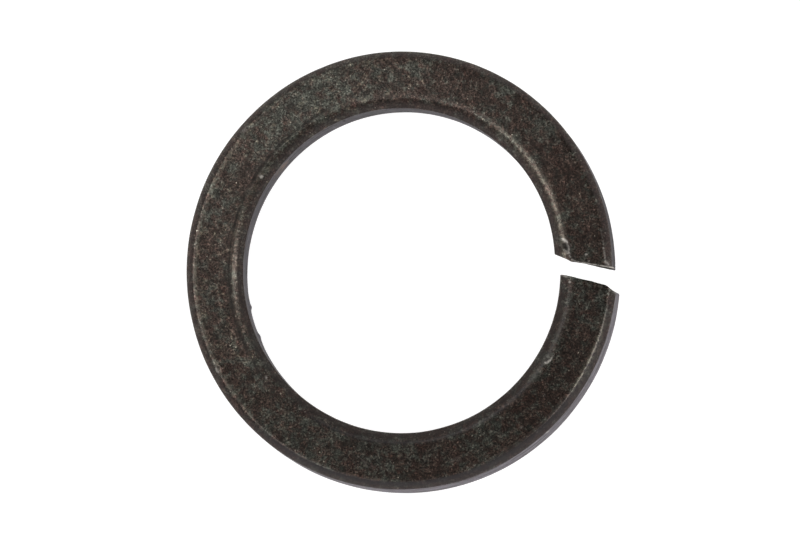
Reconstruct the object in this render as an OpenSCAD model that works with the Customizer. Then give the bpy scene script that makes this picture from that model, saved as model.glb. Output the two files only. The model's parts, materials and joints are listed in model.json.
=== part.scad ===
// Spring lock washer of square wire: one turn of a left-hand coil, cut through on a slant.
// The hole's axis is Z, the cut faces +X, and the lowest corner of the lower end is at Z = 0.
// Seen from above, the coil climbs clockwise from the lower end round to the higher one.

/* [Ring] */
// Diameter of the hole that the screw passes through
bore_d = 28; // [20:0.5:40]
// Width of the wire, from the hole to the outside
wire_w = 5; // [4:0.25:8]
// Thickness of the wire along the axis
wire_t = 5; // [3:0.25:8]

/* [Spring] */
// Rise of the coil in one full turn
lead = 5.8; // [1:0.2:12]
// Width of the gap between the two cut ends
gap_w = 1.3; // [0.6:0.1:4]
// Slant of the cut away from the line through the axis, in degrees
cut_slant = 13; // [0:1:30]

/* [Edges] */
// Radius of the rounding where each flat meets the outside
outer_round = 0.8; // [0.3:0.1:1.2]
// Radius of the rounding where each flat meets the hole
inner_round = 1.1; // [0.3:0.1:1.4]
// Width of the rolled groove between each flat and its inner rounding
groove_w = 0.4; // [0.2:0.1:0.8]
// Depth of the rolled groove
groove_depth = 0.08; // [0.02:0.02:0.2]

/* [Hidden] */
steel = [0.20, 0.19, 0.18];
inner_r = bore_d / 2;
mid_r = inner_r + wire_w / 2;
outer_r = inner_r + wire_w;
// Height that the trimming cylinders cover, and how far they run past it
free_h = wire_t + lead;
trim_over = 1;
// Rings along the coil, and steps in each rounded edge
ring_count = 110;
arc_steps = 6;
// Angle of a rounded edge where its wall trims it: the rounding is not quite tangent there
meet = 25;
wall_fn = 180;

// How far a rounding of radius r stands out past its wall before the wall is trimmed true
function past(r) = r * (1 - cos(meet));

// Radii at which the outer rounding and the inner rounding reach their flat
outer_top_r = outer_r + past(outer_round) - outer_round;
inner_top_r = inner_r - past(inner_round) + inner_round;

// A quarter round about [x, z], from one angle to another
function arc(x, z, r, from, to) = [
    for (i = [0 : arc_steps])
        let (a = from + (to - from) * i / arc_steps)
        [x + r * cos(a), z + r * sin(a)]
];

// The upper half of the wire's section as [radius, height], from the outside to the hole
upper = concat(
    arc(outer_top_r, wire_t / 2 - outer_round, outer_round, 0, 90),
    [[inner_top_r + groove_w, wire_t / 2]],
    [[inner_top_r + groove_w / 2, wire_t / 2 - groove_depth]],
    arc(inner_top_r, wire_t / 2 - inner_round, inner_round, 90, 180)
);
half_n = len(upper);
section = concat(upper, [for (i = [half_n - 1 : -1 : 0]) [upper[i][0], -upper[i][1]]]);
side_n = len(section);

// Clockwise angle at which the cut's face, set off by side from its middle, meets radius r
function cut_angle(r, side) = cut_slant - asin((mid_r * sin(cut_slant) + side) / r);
function low_end(r) = cut_angle(r, -gap_w / 2);
function high_end(r) = 360 + cut_angle(r, gap_w / 2);
start_angle = low_end(inner_top_r);

// A point of the coil: p is its [radius, height] in the section, t its share of the turn
function coil_point(p, t) =
    let (a = low_end(p[0]) + (high_end(p[0]) - low_end(p[0])) * t)
    [p[0] * cos(a), -p[0] * sin(a), p[1] + wire_t / 2 + lead * (a - start_angle) / 360];

// Number of the point at place i of ring j
function at(j, i) = j * side_n + i % side_n;

// The wire as coiled: its end faces lie in the two faces of the cut
module coil() {
    last = ring_count - 1;
    points = [
        for (j = [0 : last])
            for (i = [0 : side_n - 1])
                coil_point(section[i], j / last)
    ];
    skin = [
        for (j = [0 : last - 1])
            for (i = [0 : side_n - 1])
                for (half = [0, 1])
                    half == 0 ? [at(j, i), at(j + 1, i), at(j + 1, i + 1)]
                              : [at(j, i), at(j + 1, i + 1), at(j, i + 1)]
    ];
    start_face = [
        for (i = [0 : half_n - 2])
            [at(0, i), at(0, i + 1), at(0, side_n - 2 - i), at(0, side_n - 1 - i)]
    ];
    end_face = [
        for (i = [0 : half_n - 2])
            [at(last, side_n - 1 - i), at(last, side_n - 2 - i), at(last, i + 1), at(last, i)]
    ];
    polyhedron(points, concat(skin, start_face, end_face));
}

// The coil with its outside and its hole trimmed true
module washer() {
    color(steel)
        difference() {
            intersection() {
                coil();
                translate([0, 0, -trim_over])
                    cylinder(r = outer_r, h = free_h + 2 * trim_over, $fn = wall_fn);
            }
            translate([0, 0, -trim_over])
                cylinder(r = inner_r, h = free_h + 2 * trim_over, $fn = wall_fn);
        }
}

washer();
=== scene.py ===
"""Spring lock washer of square wire, lying on a pale table.

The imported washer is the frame. A finer mesh of the same coil stands for it: it has the rolled groove, the
sheared ends with their burrs, the dents and the slight out-of-round of the real one, and a blackened
steel finish.
"""
import json
import math

import bpy
import numpy as np
from mathutils import Matrix, Vector, noise


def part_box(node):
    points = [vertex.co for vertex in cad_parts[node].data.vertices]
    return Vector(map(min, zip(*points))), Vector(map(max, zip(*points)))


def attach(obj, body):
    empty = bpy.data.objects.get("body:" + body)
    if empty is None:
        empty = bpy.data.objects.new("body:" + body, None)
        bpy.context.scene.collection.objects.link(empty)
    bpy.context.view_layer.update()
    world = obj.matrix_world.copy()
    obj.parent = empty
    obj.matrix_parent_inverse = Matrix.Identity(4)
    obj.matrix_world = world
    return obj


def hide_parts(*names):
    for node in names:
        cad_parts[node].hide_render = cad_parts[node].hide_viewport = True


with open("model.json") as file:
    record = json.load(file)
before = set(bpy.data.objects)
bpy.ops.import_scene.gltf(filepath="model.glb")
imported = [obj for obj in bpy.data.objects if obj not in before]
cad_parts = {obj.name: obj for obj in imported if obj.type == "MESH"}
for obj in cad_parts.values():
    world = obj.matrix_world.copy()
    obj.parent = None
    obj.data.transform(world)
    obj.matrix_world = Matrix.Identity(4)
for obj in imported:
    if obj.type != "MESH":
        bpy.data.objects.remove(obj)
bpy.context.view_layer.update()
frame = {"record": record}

# ---------------------------------------------------------------- sizes, in millimetres and radians
MM = 0.001
TURN = 2 * math.pi
bore = next(m for m in frame["record"]["mounts"] if m["name"] == "bore")
box_low, box_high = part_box("washer")
INNER_R = bore["dims"]["r_mm"]
OUTER_R = box_high.y / MM
MID_R = (INNER_R + OUTER_R) / 2
WIRE = OUTER_R - INNER_R                # the wire is square
HALF = WIRE / 2
LEAD = (box_high.z - box_low.z) / MM - WIRE   # rise of the coil in one turn
GAP = 1.3                               # between the two faces of the cut
SLANT = math.radians(13)                # of the cut, away from the line through the axis
RING_COUNT = 900                        # rings of the mesh along the coil
CAP_RINGS = 9                           # smaller rings that close each end
SHARP = math.radians(50)                # edges sharper than this stay crisp

# Edges of the wire's section: a tight crest, a flatter bevel and a tight foot outside, one rounding inside.
# Each piece is a radius, the tilt it starts from and the tilt it ends at.
OUTER_EDGE = ((2.2, 0, 6), (0.36, 6, 25), (1.66, 25, 48), (0.13, 48, 90))
INNER_EDGE = ((1.25, 0, 15), (1.85, 15, 46), (0.18, 46, 90))

# The coil has sprung a little out of round: longest across this direction
OVAL = 0.0099
OVAL_AT = math.radians(87)

# ---------------------------------------------------------------- section of the wire


def edge_size(edge):
    """How much of the flat and of the wall an edge takes up."""
    along = sum(r * (math.sin(math.radians(b)) - math.sin(math.radians(a))) for r, a, b in edge)
    down = sum(r * (math.cos(math.radians(a)) - math.cos(math.radians(b))) for r, a, b in edge)
    return along, down


OUTER_FLAT = HALF - edge_size(OUTER_EDGE)[0]     # where the land ends, from the middle of the wire
INNER_FLAT = -HALF + edge_size(INNER_EDGE)[0]


def edge_points(edge, flat, side, up, n):
    """Points and normals of an edge, from the flat's end to just before the wall.

    Side and up are each 1 or -1, and n sets how fine the edge is.
    """
    x, z = flat, up * HALF
    points, normals = [], []
    for r, start, stop in edge:
        steps = max(2, round(n * (stop - start) * r ** 0.5 / 90))
        for k in range(steps):
            a0 = math.radians(start + (stop - start) * k / steps)
            a1 = math.radians(start + (stop - start) * (k + 1) / steps)
            points.append((x, z))
            normals.append((side * math.sin(a0), up * math.cos(a0)))
            x += side * r * (math.sin(a1) - math.sin(a0))
            z -= up * r * (math.cos(a0) - math.cos(a1))
    return points, normals


def straight(x0, z0, x1, z1, n, normal):
    """Points that part a straight stretch into n, without its last one, all with the same normal."""
    points = [(x0 + (x1 - x0) * k / n, z0 + (z1 - z0) * k / n) for k in range(n)]
    return points, [normal] * n


def section():
    """Outline of the wire, counter-clockwise from the foot of the outer wall.

    Gives the points, as offsets from the wire's middle, and their normals.
    """
    outer_drop = edge_size(OUTER_EDGE)[1]
    inner_drop = edge_size(INNER_EDGE)[1]

    def back(piece):
        # the same points walked the other way, from the wall to where the flat begins
        points, normals = piece
        return points[::-1], normals[::-1]

    pieces = [
        straight(HALF, -HALF + outer_drop, HALF, HALF - outer_drop, 8, (1, 0)),
        ([(HALF, HALF - outer_drop)], [(1, 0)]),
        back(edge_points(OUTER_EDGE, OUTER_FLAT, 1, 1, 14)),
        straight(OUTER_FLAT - 0.1, HALF, INNER_FLAT, HALF, 29, (0, 1)),
        edge_points(INNER_EDGE, INNER_FLAT, -1, 1, 13),
        straight(-HALF, HALF - inner_drop, -HALF, -HALF + inner_drop, 8, (-1, 0)),
        ([(-HALF, -HALF + inner_drop)], [(-1, 0)]),
        back(edge_points(INNER_EDGE, INNER_FLAT, -1, -1, 7)),
        straight(INNER_FLAT + 0.2, -HALF, OUTER_FLAT, -HALF, 9, (0, -1)),
        edge_points(OUTER_EDGE, OUTER_FLAT, 1, -1, 6),
    ]
    points = [p for piece in pieces for p in piece[0]]
    normals = [n for piece in pieces for n in piece[1]]
    return np.array(points), np.array(normals)


def smooth(low, high, x):
    """0 below low, 1 above high, and a soft step between."""
    t = np.clip((x - low) / (high - low), 0, 1)
    return t * t * (3 - 2 * t)


def hump(x, middle, width):
    """A soft hump of height 1."""
    return np.exp(-(((x - middle) / width) ** 2))


def span(x, low, high, soft):
    """1 between low and high, with soft steps of this width on both sides."""
    return smooth(low - soft, low, x) * (1 - smooth(high, high + soft, x))


def arc_from(angle, at, r):
    """Distance along the circle of radius r from the angle at, in degrees, to each of the others."""
    return np.radians((angle - at + 180) % 360 - 180) * r


def lumps(points, scale, seed):
    """Smooth noise from about -1 to 1 at each point; scale is the number of lumps in a millimetre."""
    shift = Vector((seed * 7.31, seed * 3.17, seed * 5.73))
    flat = points.reshape(-1, 3)
    values = np.array([noise.noise(Vector(p) * scale + shift) for p in flat])
    return values.reshape(points.shape[:-1])


# ---------------------------------------------------------------- the coil


def cut_angle(r, side):
    """Clockwise angle at which the plane set off by side from the middle of the cut meets radius r."""
    return SLANT - np.arcsin((MID_R * math.sin(SLANT) + side) / r)


START = float(cut_angle(INNER_R + edge_size(INNER_EDGE)[0], -GAP / 2))


def place(x, z, t, low_off, high_off):
    """Where the point [x, z] of the section lies at share t of the turn.

    The offs set the two end faces back.
    """
    r = MID_R + x
    low = cut_angle(r, -GAP / 2 - low_off)
    high = TURN + cut_angle(r, GAP / 2 + high_off)
    a = low + (high - low) * t
    r = r + MID_R * OVAL * np.cos(2 * (-a - OVAL_AT))
    return np.stack([r * np.cos(a), -r * np.sin(a), z + HALF + LEAD * (a - START) / TURN], -1)


# ---------------------------------------------------------------- the two sheared ends
# How far each end's top edge is set back from the face of the cut, from the hole to the outside
LOW_EDGE_X = (-2.5, -1.9, 1.6, 1.85, 2.13, 2.4, 2.5)
LOW_EDGE_BACK = (0.00, -0.04, 0.03, 0.14, 0.33, 0.50, 0.54)
HIGH_EDGE_X = (-2.5, -1.45, -1.05, -0.8, 0.2, 2.0, 2.5)
HIGH_EDGE_BACK = (-0.08, -0.27, -0.40, -0.37, -0.27, -0.17, -0.13)


def torn(x, z, seed):
    """Roughness of a sheared face."""
    at = np.stack([x, z, np.full_like(x, seed)], -1)
    return 0.04 * lumps(at, 1.3, seed) + 0.022 * lumps(at, 4.0, seed + 3)


def low_end_back(x, z):
    """Set-back of the lower end: its outer corner was dragged off, most at the top."""
    top = np.interp(x, LOW_EDGE_X, LOW_EDGE_BACK)
    share = 0.45 + 0.55 * smooth(-HALF, HALF, z)
    return top * share + torn(x, z, 1)


def high_end_back(x, z):
    """Set-back of the higher end: its top edge hangs over the gap, and its inner corner is rolled over."""
    top = np.interp(x, HIGH_EDGE_X, HIGH_EDGE_BACK)
    foot = 0.02 + 0.12 * smooth(0.4, -1.6, x)
    share = smooth(-HALF, HALF, z) ** 1.5
    return foot + (top - foot) * share + torn(x, z, 2) * (1 - 0.7 * share)


# ---------------------------------------------------------------- marks of use and painted light, in millimetres and degrees
# Dents in the top: radius, angle, width, depth, height of the rim
DENTS = (
    (15.0, 6.9, 0.26, 0.16, 0.04),
    (15.5, 3.0, 0.13, 0.10, 0.01),
    (14.92, 329.5, 0.22, 0.06, 0.01),
    (18.2, 208.7, 0.22, 0.05, 0.03),
    (15.0, 218.8, 0.14, 0.04, 0.03),
    (14.7, 146.2, 0.12, 0.03, 0.02),
)
# Bright marks as lines of [radius, angle], each with its width and brightness: bare scars where metal
# shines, and painted highlights on the rims of the dents
SCARS_AND_HIGHLIGHTS = (
    (((14.72, 9.7), (14.90, 9.2), (15.04, 8.5)), 0.10, 1.0),
    (((15.10, 7.9), (15.16, 6.4), (15.12, 5.5), (15.18, 4.5), (15.23, 3.3)), 0.06, 0.55),
    (((14.70, 6.1), (14.95, 5.4)), 0.05, 0.5),
    (((14.95, 5.2), (15.10, 4.4)), 0.05, 0.6),
    (((15.38, 2.5), (15.60, 2.0)), 0.07, 0.6),
    (((16.64, 3.9), (16.66, 3.8)), 0.08, 0.8),
    (((16.86, 1.9), (16.90, 1.8)), 0.07, 0.5),
    (((18.20, 5.4), (18.21, 5.1)), 0.06, 0.6),
    (((18.17, 10.8), (18.22, 6.5), (18.20, 5.3)), 0.05, 0.16),
    (((18.22, 4.6), (18.25, 3.1), (18.29, 1.5)), 0.06, 0.30),
    (((18.29, 1.6), (18.51, 0.8)), 0.13, 0.55),
    (((13.98, 359.5), (14.36, 358.8), (14.64, 358.8)), 0.08, 0.45),
    (((14.75, 357.0), (14.76, 356.9)), 0.08, 0.4),
    (((15.16, 331.7), (15.24, 329.8), (15.18, 329.0)), 0.05, 0.35),
    (((15.20, 329.4), (15.10, 328.4), (14.99, 327.9)), 0.07, 0.9),
    (((14.72, 146.4), (14.70, 146.0)), 0.10, 0.9),
    (((18.28, 209.2), (18.35, 208.6), (18.28, 208.1)), 0.07, 0.4),
    (((15.05, 219.2), (15.03, 218.7)), 0.08, 0.5),
    (((18.45, 138.6), (18.42, 137.2)), 0.16, 0.20),
    (((17.25, 287.4), (17.25, 287.1)), 0.15, 0.22),
    (((17.25, 285.7), (17.25, 285.5)), 0.10, 0.20),
    (((17.30, 308.0), (17.30, 307.8)), 0.08, 0.35),
    (((16.60, 319.5), (16.60, 319.3)), 0.08, 0.30),
    (((16.70, 257.5), (17.00, 259.5), (17.50, 261.0)), 0.05, 0.10),
    (((16.50, 259.0), (16.90, 261.0), (17.40, 262.2)), 0.05, 0.10),
)
# Pits in the top, painted dark as painted shade: radius, angle, width
PITS = ((14.80, 7.7, 0.26), (14.90, 5.7, 0.16), (15.47, 3.1, 0.13), (16.47, 3.4, 0.11), (18.2, 291, 0.12),
        (18.2, 289, 0.12))
PIT_DARK = 0.65
# Burrs on the foot of the hole's wall: angle, width along the edge, height
BURRS = ((192, 0.22, 0.13), (203, 0.30, 0.10), (278, 0.20, 0.14), (190.5, 0.5, 0.05), (204.5, 0.7, 0.05))
# Bands along the coil: rubbed crests with painted highlights, painted shade and painted reflections. Each
# gives its place across the wire, width, angles it runs between, softness of its ends, strength. Those on a
# rounding or a bevel reach further down than those on the top.
# crests: partly rubbed metal, partly painted highlight
WORN_AND_HIGHLIT_TOP = (
    (INNER_FLAT - 0.36, 0.30, 8, 46, 16, 0.85),
    (INNER_FLAT - 0.36, 0.30, 145, 195, 15, 0.35),
    (INNER_FLAT - 0.36, 0.30, 322, 345, 8, 0.30),
    (OUTER_FLAT + 0.06, 0.12, 145, 212, 15, 0.70),
)
# the bevel by the cut: a painted highlight only
PAINTED_HIGHLIGHT_BEVEL = ((OUTER_FLAT + 0.30, 0.30, 328, 342, 8, 1.0),)
# painted shade along the groove, and over part of the outer crest
SHADE_TOP = (
    (INNER_FLAT, 0.18, 0, 360, 1, 0.12),
    (INNER_FLAT, 0.18, 130, 205, 25, 0.70),
    (OUTER_FLAT + 0.12, 0.15, 298, 318, 8, 0.45),
)
# painted shade low on the inner rounding
SHADE_ROUNDING = ((INNER_FLAT - 0.82, 0.22, 195, 345, 20, 0.45),)
# blue-grey painted reflection on the inner rounding
SLATE_REFLECTION_ROUNDING = ((INNER_FLAT - 0.33, 0.18, 245, 340, 20, 0.80),)
# How far up the normal faces, from 0 to 1, where the top begins and is full, and where the roundings begin
TOP_FROM, TOP_FULL = 0.3, 0.7
ROUNDING_FROM = 0.3
TICK_AT = 312.6                         # a bright tick high on the outer wall
NICK_AT = 111                           # a dark nick in the hole's wall
RUST_AT = 139.5                         # a rust stain on the hole's wall


def ring_places(count):
    """Shares of the turn at which the rings lie, closer together near the two ends."""
    f = np.linspace(0, 1, 4001)
    end = np.minimum(f, 1 - f)
    crowd = 1 + 2.4 * np.exp(-end / 0.020)
    run = np.concatenate([[0], np.cumsum((crowd[1:] + crowd[:-1]) / 2)])
    return np.interp(np.linspace(0, 1, count), run / run[-1], f)


def surface_push(points, outline, normals, angle, to_low, to_high):
    """How far each point of the skin stands off the plain section, along its normal."""
    x = outline[:, 0][None, :]
    z = outline[:, 1][None, :]
    top = (normals[:, 1] > 0.6)[None, :]
    foot = (normals[:, 1] < -0.6)[None, :]
    # the rolled groove where the land meets the inner rounding, clearest on the far side of the coil
    clear = 0.15 + 0.85 * span(angle, 128, 205, 30)
    wander = 0.03 * np.sin(np.radians(angle * 3 + 40)) + 0.02 * np.sin(np.radians(angle * 7))
    groove = hump(x, INNER_FLAT - 0.04 + wander, 0.09) * (top | foot)
    push = -0.055 * groove * clear
    # waviness of the rolled wire
    push = push + 0.016 * lumps(points, 0.30, 5) + 0.005 * lumps(points, 1.2, 6)
    # dents
    r = np.hypot(points[..., 0], points[..., 1])
    for dent_r, dent_at, width, depth, rim in DENTS:
        far = np.hypot(r - dent_r, arc_from(angle, dent_at, dent_r))
        mark = -depth * hump(far, 0, width) + rim * hump(far, 1.6 * width, 0.5 * width)
        push = push + mark * top
    # burrs on the foot of the hole's wall
    for burr_at, width, height in BURRS:
        along = arc_from(angle, burr_at, INNER_R)
        push = push + height * hump(along, 0, width) * hump(z, -HALF + 0.9, 0.5) * (x < -HALF + 0.7)
    # every sheared edge is broken by a hair
    push = push - 0.05 * np.exp(-to_low / 0.03) - 0.03 * np.exp(-to_high / 0.03)
    # the higher end's burr: a lip along its top edge that grows towards the outer corner
    lip = 0.05 * smooth(-1.3, -0.9, x) + 0.11 * smooth(1.7, 2.4, x)
    push = push + lip * np.exp(-to_high / 0.10) * (normals[:, 1] > 0.2)[None, :]
    tip = smooth(1.2, 2.0, z) * (normals[:, 0] > 0.5)[None, :]
    push = push + 0.17 * tip * np.exp(-to_high / 0.13)
    # the lower end's lip is only a trace
    push = push + 0.02 * np.exp(-to_low / 0.10) * top
    return push


def cap(outline_x, outline_z, end, before, base, verts, faces):
    """Close one end, 0 the lower and 1 the higher, with rings that shrink to its middle."""
    back = high_end_back if end else low_end_back
    n = len(outline_x)
    for k in range(1, CAP_RINGS + 1):
        share = 1 - k / (CAP_RINGS + 1)
        cx, cz = outline_x * share, outline_z * share
        off = back(cx, cz)
        verts.append(place(cx, cz, np.full_like(cx, end), off * (1 - end), off * end))
        now = list(range(base, base + n))
        base += n
        for i in range(n):
            m = (i + 1) % n
            quad = (before[i], now[i], now[m], before[m])
            faces.append(quad[::-1] if end else quad)
        before = now
    zero = np.zeros(1)
    off = back(zero, zero)
    verts.append(place(zero, zero, zero + end, off * (1 - end), off * end))
    for i in range(n):
        m = (i + 1) % n
        tri = (before[i], base, before[m])
        faces.append(tri[::-1] if end else tri)
    return base + 1


def washer_mesh():
    """The washer's mesh, its points, and what paint() needs to know of each.

    For the points of the skin that is the place in the section and how far it faces up, and for all
    points the distance to the higher end.
    """
    outline, normals = section()
    side_n = len(outline)
    t = ring_places(RING_COUNT)
    ring_n = len(t)
    low_off = low_end_back(outline[:, 0], outline[:, 1])
    high_off = high_end_back(outline[:, 0], outline[:, 1])
    x = np.broadcast_to(outline[:, 0], (ring_n, side_n)).copy()
    z = np.broadcast_to(outline[:, 1], (ring_n, side_n)).copy()
    tt = np.broadcast_to(t[:, None], (ring_n, side_n))
    points = place(x, z, tt, low_off, high_off)
    angle = np.degrees(np.arctan2(points[..., 1], points[..., 0])) % 360
    length = TURN * MID_R
    push = surface_push(points, outline, normals, angle, tt * length, (1 - tt) * length)
    x = x + push * normals[:, 0]
    z = z + push * normals[:, 1]
    points = place(x, z, tt, low_off, high_off)

    verts = [points.reshape(-1, 3)]
    faces = []
    for j in range(ring_n - 1):
        a = j * side_n
        b = a + side_n
        for i in range(side_n):
            k = (i + 1) % side_n
            faces.append((a + i, a + k, b + k, b + i))
    base = ring_n * side_n
    for end, ring in ((0, 0), (1, ring_n - 1)):
        first = ring * side_n
        before = list(range(first, first + side_n))
        base = cap(x[ring], z[ring], end, before, base, verts, faces)
    verts = np.concatenate(verts)
    mesh = bpy.data.meshes.new("washer_steel")
    mesh.from_pydata((verts * MM).tolist(), [], faces)
    mesh.update()

    side_x = np.broadcast_to(outline[:, 0], (ring_n, side_n)).ravel()
    side_z = np.broadcast_to(outline[:, 1], (ring_n, side_n)).ravel()
    facing = np.broadcast_to(normals[:, 1], (ring_n, side_n)).ravel()
    # the rings that close the ends count as far from the higher end's edge, so they take none of its shine
    far_off = 9
    to_high = np.full(len(verts), float(far_off))
    to_high[:ring_n * side_n] = ((1 - tt) * length).ravel()
    return mesh, verts, side_x, side_z, facing, to_high


# ---------------------------------------------------------------- what the finish reads from the mesh


def near_line(r, angle, line):
    """Distance in millimetres from each point to a line drawn on the top."""
    best = np.full(len(r), 1e3)
    for (r0, a0), (r1, a1) in zip(line, line[1:]):
        here = arc_from(angle, a0, r)
        run = arc_from(a1, a0, r0)
        share = ((r - r0) * (r1 - r0) + here * run) / ((r1 - r0) ** 2 + run ** 2)
        share = np.clip(share, 0, 1)
        best = np.minimum(best, np.hypot(r - r0 - share * (r1 - r0), here - share * run))
    return best


def add_attribute(mesh, name, values):
    """Keep one number for each point of the mesh, for the material to read."""
    layer = mesh.attributes.new(name, "FLOAT", "POINT")
    layer.data.foreach_set("value", np.asarray(values, dtype=np.float32))


def bands(table, across, angle):
    """The bands of a table, added up."""
    return sum(strength * hump(across, middle, width) * span(angle, low, high, soft)
               for middle, width, low, high, soft, strength in table)


def worn_and_highlit_crests(across, up, angle):
    """Where the finish is rubbed and highlights are painted: crests on both sides of the cut and opposite
    it, partly rubbed metal and partly painted highlight, and the bevel by the cut, a painted highlight only.
    """
    top = smooth(TOP_FROM, TOP_FULL, up)
    return bands(WORN_AND_HIGHLIT_TOP, across, angle) * top + bands(PAINTED_HIGHLIGHT_BEVEL, across, angle) * (up > ROUNDING_FROM)


def painted_shade_and_dark_marks(across, up, at_height, wall, r, angle):
    """Where the colour is made darker: painted shade in the groove, over part of the outer crest, low on the
    inner rounding, in the dents and in the pits; a dark nick; and the outer wall by the higher end.
    """
    top = smooth(TOP_FROM, TOP_FULL, up)
    dark = bands(SHADE_TOP, across, angle) * top
    dark = dark + bands(SHADE_ROUNDING, across, angle) * (up > ROUNDING_FROM)
    # painted shade in the dents
    for dent_r, dent_at, width, depth, _ in DENTS:
        far = np.hypot(r - dent_r, arc_from(angle, dent_at, dent_r))
        dark = dark + min(1, depth * 9) * hump(far, 0, width) * top
    for pit_r, pit_at, width in PITS:
        spot = ((pit_r, pit_at), (pit_r, pit_at + 0.1))
        dark = dark + PIT_DARK * hump(near_line(r, angle, spot), 0, width) * top
    nick = hump(arc_from(angle, NICK_AT, INNER_R), 0, 0.10) * hump(at_height, 0.9, 0.5)
    end_wall = 0.75 * span(angle, 0, 22, 10)
    return dark + nick * wall * (across < 0) + end_wall * wall * (across > 0)


def bare_metal_and_highlights(across, up, at_height, wall, r, angle, to_high):
    """Where bright colour goes: a line along the lip that the shears left on the higher end, partly fresh
    metal and partly painted highlight; the scars, bare metal and painted highlights on the rims of the
    dents; and the tick.
    """
    lip = hump(to_high, 0.02, 0.06) * smooth(-1.0, -0.6, across) * smooth(0.0, 0.3, up)
    bright = 0.9 * lip * (0.65 + 0.35 * smooth(1.2, 2.2, across))
    for line, width, strength in SCARS_AND_HIGHLIGHTS:
        scar_and_highlight = strength * hump(near_line(r, angle, line), 0, width) * (up > 0.2)
        bright = np.maximum(bright, scar_and_highlight)
    tick = hump(arc_from(angle, TICK_AT, OUTER_R), 0, 0.13) * hump(at_height, 1.6, 0.4)
    return np.maximum(bright, tick * wall * (across > 0))


def painted_reflection_bands(across, up, angle):
    """Smooth blue-grey bands on the bevel and the inner rounding, on the lower end's side of the coil:
    painted reflections of the studio's walls.
    """
    bevel = smooth(0.15, 0.35, up) * smooth(1.78, 1.92, across) * span(angle, 240, 335, 18)
    bevel = bevel * (1 - 0.6 * smooth(2.05, 2.3, across))
    return bevel + bands(SLATE_REFLECTION_ROUNDING, across, angle) * (up > ROUNDING_FROM)


def paint(mesh, verts, side_x, side_z, facing, to_high):
    """Write what the finish reads at each point, as attributes of the mesh."""
    skin_n = len(side_x)

    def on_skin(values, elsewhere):
        full = np.full(len(verts), float(elsewhere))
        full[:skin_n] = values
        return full

    r = np.hypot(verts[:, 0], verts[:, 1])
    angle = np.degrees(np.arctan2(verts[:, 1], verts[:, 0])) % 360
    across = r - MID_R
    across[:skin_n] = side_x
    up = on_skin(facing, 0)
    at_height = on_skin(side_z, 0)
    wall = on_skin(1 - smooth(0.10, 0.35, np.abs(facing)), 0)
    hole_wall = wall * (across < 0)
    dark = painted_shade_and_dark_marks(across, up, at_height, wall, r, angle)
    bright = bare_metal_and_highlights(across, up, at_height, wall, r, angle, to_high)
    attributes = {
        # rubbed crests with painted highlights, and the bevel's painted highlight
        "wear_and_highlight": np.clip(worn_and_highlit_crests(across, up, angle), 0, 1),
        "dark": np.clip(dark, 0, 1),
        "bright": np.clip(bright, 0, 1),
        "slate_reflection": painted_reflection_bands(across, up, angle),
        "rust": hump(angle, RUST_AT, 3.2) * hump(at_height, 0.5, 1.0) * hole_wall,
        "edge": smooth(0.15, 0.35, up) * (1 - smooth(0.86, 0.95, up)),
        # the far side of the coil from the cut, painted paler: partly bloom, partly painted light
        "bloom_and_lit_side": span(angle, 105, 205, 40),
        "wall": wall,
        "hole": hole_wall,
        "torn": on_skin(0, 1),
        # places on the mesh, in millimetres: up the section, across it and along the coil
        "tall": at_height,
        "across": across,
        "around": np.radians(angle) * MID_R,
    }
    for name, values in attributes.items():
        add_attribute(mesh, name, values)


mesh, verts, side_x, side_z, facing, to_high = washer_mesh()
paint(mesh, verts, side_x, side_z, facing, to_high)
washer = bpy.data.objects.new("washer_steel", mesh)
bpy.context.scene.collection.objects.link(washer)
mesh.shade_smooth()
mesh.set_sharp_from_angle(angle=SHARP)

# ---------------------------------------------------------------- material


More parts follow.
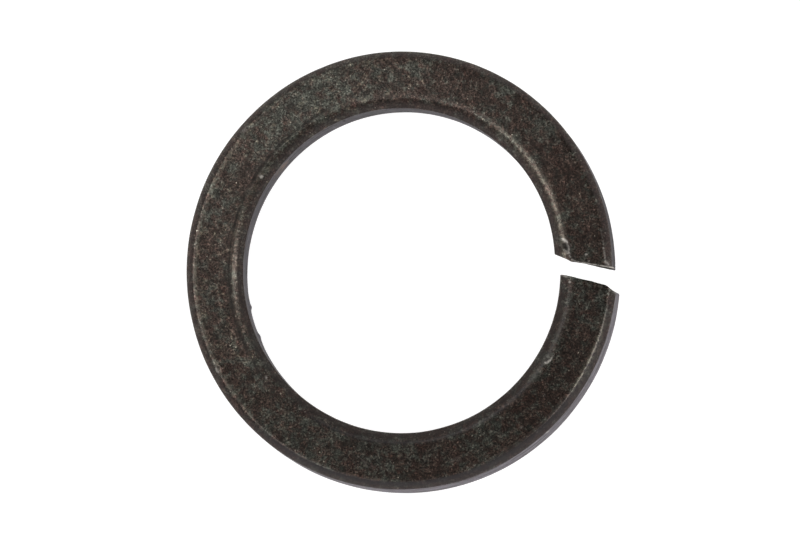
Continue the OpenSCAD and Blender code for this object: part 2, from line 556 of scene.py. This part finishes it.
class Nodes:
    """Short names for building the node tree of a material or of the world."""

    def __init__(self, owner):
        self.tree = owner.node_tree

    def add(self, kind, **settings):
        node = self.tree.nodes.new(kind)
        for name, value in settings.items():
            setattr(node, name, value)
        return node

    def put(self, socket, value):
        if isinstance(value, bpy.types.NodeSocket):
            self.tree.links.new(value, socket)
        else:
            socket.default_value = value

    def math(self, operation, a, b=0.0, clamp=False):
        node = self.add("ShaderNodeMath", operation=operation, use_clamp=clamp)
        self.put(node.inputs[0], a)
        self.put(node.inputs[1], b)
        return node.outputs[0]

    def times(self, a, b):
        return self.math("MULTIPLY", a, b)

    def total(self, first, *others):
        for other in others:
            first = self.math("ADD", first, other)
        return first

    def swing(self, noise_value, amount):
        """Noise from 0 to 1 turned into a swing about 0; the amount is that of the whole range."""
        return self.times(self.math("SUBTRACT", noise_value, 0.5), amount)

    def step(self, value, low, high):
        """0 below low, 1 above high, a soft step between."""
        node = self.add("ShaderNodeMapRange", interpolation_type="SMOOTHSTEP")
        self.put(node.inputs["Value"], value)
        node.inputs["From Min"].default_value = low
        node.inputs["From Max"].default_value = high
        return node.outputs["Result"]

    def band(self, value, low, high, soft):
        """1 between low and high, with soft edges."""
        return self.math("SUBTRACT", self.step(value, low - soft, low + soft),
                         self.step(value, high - soft, high + soft))

    def grain(self, place_mm, scale, detail=2.0, rough=0.5, distort=0.0):
        """Noise from 0 to 1 with this many lumps in a millimetre."""
        node = self.add("ShaderNodeTexNoise")
        self.put(node.inputs["Vector"], place_mm)
        node.inputs["Scale"].default_value = scale
        node.inputs["Detail"].default_value = detail
        node.inputs["Roughness"].default_value = rough
        node.inputs["Distortion"].default_value = distort
        return node.outputs["Fac"]

    def shift(self, place_mm, offset):
        node = self.add("ShaderNodeVectorMath", operation="ADD")
        self.put(node.inputs[0], place_mm)
        node.inputs[1].default_value = offset
        return node.outputs[0]

    def stretch(self, place_mm, factors):
        node = self.add("ShaderNodeVectorMath", operation="MULTIPLY")
        self.put(node.inputs[0], place_mm)
        node.inputs[1].default_value = factors
        return node.outputs[0]

    def pair(self, x, y):
        """A place for a noise, from two lengths."""
        node = self.add("ShaderNodeCombineXYZ")
        self.put(node.inputs[0], x)
        self.put(node.inputs[1], y)
        return node.outputs[0]

    def blend(self, fac, a, b):
        """Colour a where fac is 0, colour b where it is 1."""
        node = self.add("ShaderNodeMix", data_type="RGBA")
        colour_a, colour_b, result = node.inputs[6], node.inputs[7], node.outputs[2]
        self.put(node.inputs["Factor"], fac)
        self.put(colour_a, a)
        self.put(colour_b, b)
        return result

    def shade(self, colour, power):
        """The colour times e to this power."""
        node = self.add("ShaderNodeVectorMath", operation="SCALE")
        self.put(node.inputs[0], colour)
        self.put(node.inputs["Scale"], self.math("EXPONENT", power))
        return node.outputs[0]

    def attribute(self, name):
        return self.add("ShaderNodeAttribute", attribute_name=name).outputs["Fac"]


BROWN = (0.0345, 0.0232, 0.0188, 1)
BROWN_DEEP = (0.0295, 0.0162, 0.0130, 1)
GREEN_GREY = (0.0460, 0.0475, 0.0395, 1)
TAN = (0.121, 0.106, 0.077, 1)
# bright specks: painted glints
GLINT_SPECK = (0.34, 0.31, 0.25, 1)
# lilac-grey of the walls: a painted reflection of the pale table; the hole's is a darker copy, painted shade
LILAC_REFLECTION = (0.078, 0.062, 0.090, 1)
HOLE_LILAC_SHADED = (0.034, 0.028, 0.041, 1)
# blue-grey painted reflection of the studio's walls, on the bevel and the inner rounding
SLATE_REFLECTION = (0.055, 0.051, 0.055, 1)
EDGE_BROWN = (0.036, 0.0265, 0.0265, 1)
WALL_BROWN = (0.022, 0.015, 0.0145, 1)
RUST = (0.150, 0.082, 0.045, 1)
# pale colour of fresh metal and of painted highlights
FRESH_AND_HIGHLIGHT = (0.62, 0.58, 0.53, 1)
# pale colour of rubbed metal and of painted highlights
BARE_AND_HIGHLIGHT = (0.235, 0.221, 0.172, 1)
BLACK = (0.006, 0.005, 0.005, 1)
METAL = 0.6                             # share of metal in the oxide's gloss
GLOSS_TINT = (1.0, 0.95, 0.88, 1)
# Roughness: of the oxide, and what each kind of place adds to it
ROUGH = 0.21
ROUGH_CLOUD = -0.4
ROUGH_WALL = 0.42
ROUGH_STREAK = 1.2
ROUGH_HOLE = 0.12
ROUGH_TORN = 0.6
ROUGH_DARK = 0.4
ROUGH_BRIGHT = 0.3


def oxide(n, here, patch):
    """Colour of the blackened skin: brown and green-grey patches, pale bloom, more of it on the far side of
    the coil from the cut, which is partly painted light, and bright specks that are painted glints.
    """
    broad = n.grain(n.shift(here, (31, 7, 3)), 0.16, 2, 0.5)
    lean = n.total(n.times(n.math("SUBTRACT", n.attribute("bloom_and_lit_side"), 0.3), 0.015), n.swing(broad, 0.35))
    green = n.step(n.math("ADD", patch, lean), 0.44, 0.60)
    deep = n.step(n.grain(n.shift(here, (5, 40, 9)), 0.9, 6, 0.8), 0.46, 0.64)
    colour = n.blend(deep, BROWN, BROWN_DEEP)
    colour = n.blend(green, colour, GREEN_GREY)
    bloom = n.step(n.grain(n.shift(here, (17, 3, 21)), 1.7, 6, 0.85), 0.52, 0.72)
    # more pale bloom on the far side from the cut: partly painted light, as that side is lit more
    bloom_and_lit_side = n.math("ADD", n.times(n.attribute("bloom_and_lit_side"), 0.80), 0.20)
    colour = n.blend(n.times(bloom, bloom_and_lit_side), colour, TAN)
    # painted glints: one bright speck in the middle of some of the cells
    cells = n.add("ShaderNodeTexVoronoi", feature="F1")
    n.put(cells.inputs["Vector"], here)
    cells.inputs["Scale"].default_value = 2.3
    chosen = n.add("ShaderNodeSeparateColor")
    n.put(chosen.inputs[0], cells.outputs["Color"])
    near = n.math("SUBTRACT", 1.0, n.step(cells.outputs["Distance"], 0.05, 0.17))
    glint_speck = n.times(near, n.step(chosen.outputs[0], 0.64, 0.78))
    return n.blend(n.times(glint_speck, 0.7), colour, GLINT_SPECK)


def edges_walls_and_painted_light(n, colour, wall, hole):
    """Edges rubbed smooth; blue-grey bands that are painted reflections; the walls painted lilac-grey, a
    painted reflection of the pale table, with the hole's wall a darker copy as painted shade.
    """
    colour = n.blend(n.times(n.attribute("edge"), 0.5), colour, EDGE_BROWN)
    # blue-grey painted reflections on the bevel and the inner rounding
    colour = n.blend(n.times(n.attribute("slate_reflection"), 0.6), colour, SLATE_REFLECTION)
    # the walls' lilac-grey is a painted reflection, and the hole's darker lilac is painted shade
    colour = n.blend(n.times(wall, 0.9), colour, LILAC_REFLECTION)
    return n.blend(n.times(hole, 0.9), colour, HOLE_LILAC_SHADED)


def wall_marks(n, colour, wall, streak, patch, cloud):
    """Brown streaks along the drawn walls, a rust stain, scuffs and clouds."""
    stain = n.times(n.step(streak, 0.44, 0.62), n.times(wall, 0.75))
    colour = n.blend(stain, colour, WALL_BROWN)
    rust = n.times(n.attribute("rust"), n.step(cloud, 0.36, 0.60))
    colour = n.blend(rust, colour, RUST)
    scuff = n.times(n.step(patch, 0.50, 0.66), n.times(wall, 0.35))
    colour = n.blend(scuff, colour, GREEN_GREY)
    return n.shade(colour, n.swing(cloud, n.times(wall, 5.0)))


def relief(n, here, fine, line):
    """Bumps of the skin; each noise is weighed by its height in millimetres."""
    coarse = n.grain(n.shift(here, (41, 8, 2)), 1.5)
    middle = n.grain(n.shift(here, (3, 28, 12)), 3.6)
    height = n.total(n.times(coarse, 0.012), n.times(middle, 0.014))
    height = n.total(height, n.times(fine, 0.007), n.times(line, 0.002))
    bump = n.add("ShaderNodeBump")
    bump.inputs["Strength"].default_value = 1.0
    bump.inputs["Distance"].default_value = MM
    n.put(bump.inputs["Height"], height)
    return bump.outputs[0]


def make_steel():
    """Blackened, oiled steel with fine grain, worn crests, drawn walls and torn faces, with painted
    highlights, glints, shade and reflections in its colour.
    """
    m = bpy.data.materials.new("blackened_steel")
    m.use_nodes = True
    n = Nodes(m)
    n.tree.nodes.clear()
    out = n.add("ShaderNodeOutputMaterial")
    skin = n.add("ShaderNodeBsdfPrincipled")
    n.tree.links.new(skin.outputs[0], out.inputs[0])
    wear_and_highlight, dark = n.attribute("wear_and_highlight"), n.attribute("dark")
    wall, hole, torn_face = n.attribute("wall"), n.attribute("hole"), n.attribute("torn")
    across, around, tall = n.attribute("across"), n.attribute("around"), n.attribute("tall")

    # the object's own coordinates in millimetres; the noises are set off from each other, so none line up
    coords = n.add("ShaderNodeTexCoord")
    here = n.stretch(coords.outputs["Object"], (1 / MM, 1 / MM, 1 / MM))
    patch = n.grain(here, 1.05, 7, 0.80, 0.15)
    cloud = n.grain(n.shift(here, (2, 2, 50)), 1.4, 8, 0.85)
    fine = n.grain(n.shift(here, (12, 2, 50)), 6.0, 3, 0.8)
    shard = n.grain(n.shift(here, (6, 33, 14)), 4.5, 3, 0.7)
    rub = n.grain(n.shift(here, (9, 9, 9)), 3.0, 4, 0.75)
    # lines that run along the coil: those of rolling on the flats, those of drawing on the walls
    line = n.grain(n.stretch(n.pair(across, around), (5.0, 0.25, 1)), 1.0, 3, 0.6)
    streak = n.grain(n.pair(n.times(tall, 3.2), n.times(around, 0.22)), 1.0, 4, 0.65)

    power = n.total(n.swing(cloud, 7.8), n.swing(fine, 7.5), n.swing(line, 0.8))
    colour = n.shade(oxide(n, here, patch), power)
    # painted reflections on the bevel, the inner rounding and the walls, and painted shade on the hole's
    # wall
    colour = edges_walls_and_painted_light(n, colour, wall, hole)
    colour = wall_marks(n, colour, wall, streak, patch, cloud)
    colour = n.blend(n.times(torn_face, 0.7), colour, BLACK)
    # rubbed crests with painted highlights, and a painted highlight on the bevel
    rubbed_and_highlit = n.times(wear_and_highlight, n.step(rub, 0.40, 0.62))
    colour = n.blend(n.times(rubbed_and_highlit, 0.5), colour, BARE_AND_HIGHLIGHT)
    # painted shade in the groove, dents and pits and on crest and rounding, and other dark marks
    colour = n.blend(n.times(dark, 0.85), colour, BLACK)
    # painted highlights on the lip and the dent rims, bare scars, and the tick
    bright = n.times(n.attribute("bright"), n.step(shard, 0.30, 0.58))
    colour = n.blend(bright, colour, FRESH_AND_HIGHLIGHT)
    n.put(skin.inputs["Base Color"], colour)

    rough = n.math("ADD", n.swing(cloud, ROUGH_CLOUD), ROUGH)
    rough = n.total(rough, n.times(wall, ROUGH_WALL), n.swing(streak, n.times(wall, ROUGH_STREAK)))
    rough = n.total(rough, n.times(hole, ROUGH_HOLE), n.times(torn_face, ROUGH_TORN))
    rough = n.math("ADD", rough, n.times(dark, ROUGH_DARK), clamp=True)
    rough = n.math("ADD", rough, n.times(bright, ROUGH_BRIGHT), clamp=True)
    n.put(skin.inputs["Roughness"], rough)
    skin.inputs["Specular Tint"].default_value = GLOSS_TINT
    n.put(skin.inputs["Metallic"], n.times(n.math("SUBTRACT", 1.0, wall), METAL))
    n.put(skin.inputs["Normal"], relief(n, here, fine, line))
    return m


steel = make_steel()
mesh.materials.append(steel)
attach(washer, "root")
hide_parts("washer")

# ---------------------------------------------------------------- table, light and camera

# At rest the washer stands on its lower end and on the far side of the coil, so the table slopes under it
REST_UP = Vector((LEAD / (4 * MID_R), -LEAD / (TURN * MID_R), 1)).normalized()
TABLE_R = 1.2                           # in metres
TABLE_WHITE = 0.35                      # share of the studio's light that it throws back
TABLE_GLOW = 0.88                       # strength of its own light


def make_floor():
    """A table that looks white: most of its light is its own, so that the washer's shadow stays faint."""
    low = min(v.co.dot(REST_UP) for v in mesh.vertices)
    bpy.ops.mesh.primitive_circle_add(vertices=96, radius=TABLE_R, fill_type="NGON")
    floor = bpy.context.object
    floor.name = "table"
    floor.rotation_mode = "QUATERNION"
    floor.rotation_quaternion = REST_UP.to_track_quat("Z", "Y")
    floor.location = REST_UP * low
    m = bpy.data.materials.new("table_white")
    m.use_nodes = True
    skin = m.node_tree.nodes["Principled BSDF"]
    skin.inputs["Base Color"].default_value = (TABLE_WHITE, TABLE_WHITE, TABLE_WHITE, 1)
    skin.inputs["Roughness"].default_value = 0.9
    skin.inputs["Specular IOR Level"].default_value = 0.0
    skin.inputs["Emission Color"].default_value = (1, 1, 1, 1)
    skin.inputs["Emission Strength"].default_value = TABLE_GLOW
    floor.data.materials.append(m)


# Soft panels of the studio, as seen from the washer, in degrees from its axis towards +X and towards +Y:
# from and to across, from and to up, width of the soft edge, brightness
PANELS = (
    (-43, -17, -12, 11, 3.5, 3.3),
    (-22, -1.5, -24, 2.5, 4.5, 1.2),
    (-40, -5, 8, 40, 6, 0.58),
    (-16, -2, -30, -7, 4.5, 0.85),
    (11, 46, -8, 5, 3, 4.4),
)
# Brightness of the walls and ceiling by the cosine of the angle from straight up
CEILING = ((0.0, 1.0), (0.30, 0.95), (0.62, 0.55), (0.90, 0.38), (0.985, 0.0), (1.0, 0.0))


def make_world():
    """A studio with pale walls, a dim ceiling and soft panels of light."""
    world = bpy.data.worlds.new("studio")
    bpy.context.scene.world = world
    world.use_nodes = True
    n = Nodes(world)
    coords = n.add("ShaderNodeTexCoord")
    split = n.add("ShaderNodeSeparateXYZ")
    n.put(split.inputs[0], coords.outputs["Generated"])
    x, y, z = split.outputs
    across = n.times(n.math("ARCTAN2", x, z), math.degrees(1))
    up = n.times(n.math("ARCTAN2", y, z), math.degrees(1))
    ramp = n.add("ShaderNodeValToRGB")
    n.put(ramp.inputs[0], z)
    ramp.color_ramp.elements[0].position = CEILING[0][0]
    ramp.color_ramp.elements[1].position = CEILING[-1][0]
    for at, _ in CEILING[1:-1]:
        ramp.color_ramp.elements.new(at)
    for element, (at, level) in zip(ramp.color_ramp.elements, CEILING):
        element.color = (level, level, level, 1)
    total = ramp.outputs[0]
    for left, right, low, high, soft, bright in PANELS:
        inside = n.times(n.band(across, left, right, soft), n.band(up, low, high, soft))
        total = n.math("ADD", total, n.times(inside, bright))
    back = world.node_tree.nodes["Background"]
    n.put(back.inputs[0], total)
    back.inputs[1].default_value = 1.0


CAM_LEAN = (0.09, -0.09)                # slope of the line of sight against the washer's axis
CAM_ROLL = math.radians(0.5)
CAM_DISTANCE = 1.5                      # from the washer, in metres
SENSOR = 36                             # width of the film, in millimetres
FRAME_WIDTH = 70.5 * MM                 # of the table that the picture takes in
AIM = (-0.685, 1.015)                   # where the line of sight meets the washer's foot, in mm


def make_camera():
    """The camera looks nearly straight down, from a little to the right and below."""
    data = bpy.data.cameras.new("camera")
    cam = bpy.data.objects.new("camera", data)
    back = Vector((CAM_LEAN[0], CAM_LEAN[1], 1)).normalized()
    right = Vector((0, 1, 0)).cross(back).normalized()
    up = back.cross(right)
    right, up = (right * math.cos(CAM_ROLL) + up * math.sin(CAM_ROLL),
                 up * math.cos(CAM_ROLL) - right * math.sin(CAM_ROLL))
    cam.location = Vector((AIM[0] * MM, AIM[1] * MM, 0)) + back * CAM_DISTANCE
    cam.rotation_mode = "QUATERNION"
    cam.rotation_quaternion = Matrix((right, up, back)).transposed().to_quaternion()
    data.sensor_width = SENSOR
    data.lens = SENSOR * CAM_DISTANCE / FRAME_WIDTH
    data.clip_start, data.clip_end = 0.01, 10
    bpy.context.scene.collection.objects.link(cam)
    bpy.context.scene.camera = cam


make_floor()
make_world()
make_camera()
bpy.context.scene.view_settings.view_transform = "Standard"
